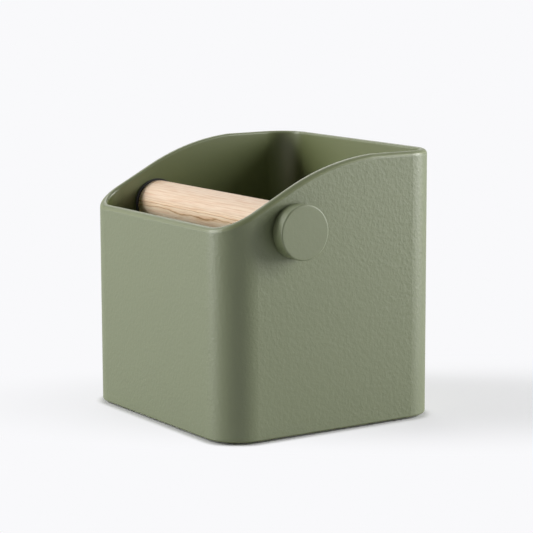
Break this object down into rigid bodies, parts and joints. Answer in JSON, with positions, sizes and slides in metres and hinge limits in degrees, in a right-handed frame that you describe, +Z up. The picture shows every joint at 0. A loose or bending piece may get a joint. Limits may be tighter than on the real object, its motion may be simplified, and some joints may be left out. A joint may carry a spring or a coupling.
{
  "type": "espresso knock box",
  "caption": "Open-topped espresso knock box with a low front lip, arched side rims and a wooden knock bar clamped across it by a screw knob on each side.",
  "frame": {"origin": "on the surface the feet stand on, under the middle of the box", "axes": "+Z up, -Y towards the low front lip, X along the knock bar, from knob to knob"},
  "size_m": [0.1426, 0.119, 0.1267],
  "materials": {
    "bin_plastic": "moulded ABS with a fine spark-eroded grain",
    "knob_plastic": "moulded ABS, satin",
    "bar_wood": "turned and sanded, thin oil",
    "ring_rubber": "moulded rubber",
    "washer_rubber": "moulded rubber",
    "foot_rubber": "moulded rubber",
    "bush_nylon": "moulded nylon",
    "insert_brass": "turned",
    "screw_steel": "rolled thread, zinc plated"
  },
  "bodies": {
    "bin_body": {"bin": "bin_plastic", "right_wall_bush": "bush_nylon", "left_wall_bush": "bush_nylon", "front_left_foot": "foot_rubber", "front_right_foot": "foot_rubber", "rear_left_foot": "foot_rubber", "rear_right_foot": "foot_rubber"},
    "bar_body": {"knock_bar": "bar_wood", "right_thread_insert": "insert_brass", "left_thread_insert": "insert_brass", "right_end_ring": "ring_rubber", "left_end_ring": "ring_rubber"},
    "right_washer_body": {"right_knob_washer": "washer_rubber"},
    "right_knob_body": {"right_knob": "knob_plastic", "right_knob_screw": "screw_steel"},
    "left_washer_body": {"left_knob_washer": "washer_rubber"},
    "left_knob_body": {"left_knob": "knob_plastic", "left_knob_screw": "screw_steel"}
  },
  "joints": [
    {"name": "bar_turn", "type": "hinge", "parent": "bin_body", "child": "bar_body", "pos_m": [0, -0.023, 0.0949], "axis": [1, 0, 0], "continuous": true},
    {"name": "right_knob_travel", "type": "slide", "parent": "bar_body", "child": "right_washer_body", "axis": [1, 0, 0], "range_m": [0, 0.012]},
    {"name": "right_knob_turn", "type": "hinge", "parent": "right_washer_body", "child": "right_knob_body", "pos_m": [0.064, -0.023, 0.0949], "axis": [1, 0, 0], "range_deg": [0, 4320]},
    {"name": "left_knob_travel", "type": "slide", "parent": "bar_body", "child": "left_washer_body", "axis": [-1, 0, 0], "range_m": [0, 0.012]},
    {"name": "left_knob_turn", "type": "hinge", "parent": "left_washer_body", "child": "left_knob_body", "pos_m": [-0.064, -0.023, 0.0949], "axis": [-1, 0, 0], "range_deg": [0, 4320]}
  ],
  "couplings": [
    {"joint": "right_knob_travel", "follows": "right_knob_turn", "m_per_rad": 0.00015915},
    {"joint": "left_knob_travel", "follows": "left_knob_turn", "m_per_rad": 0.00015915}
  ]
}
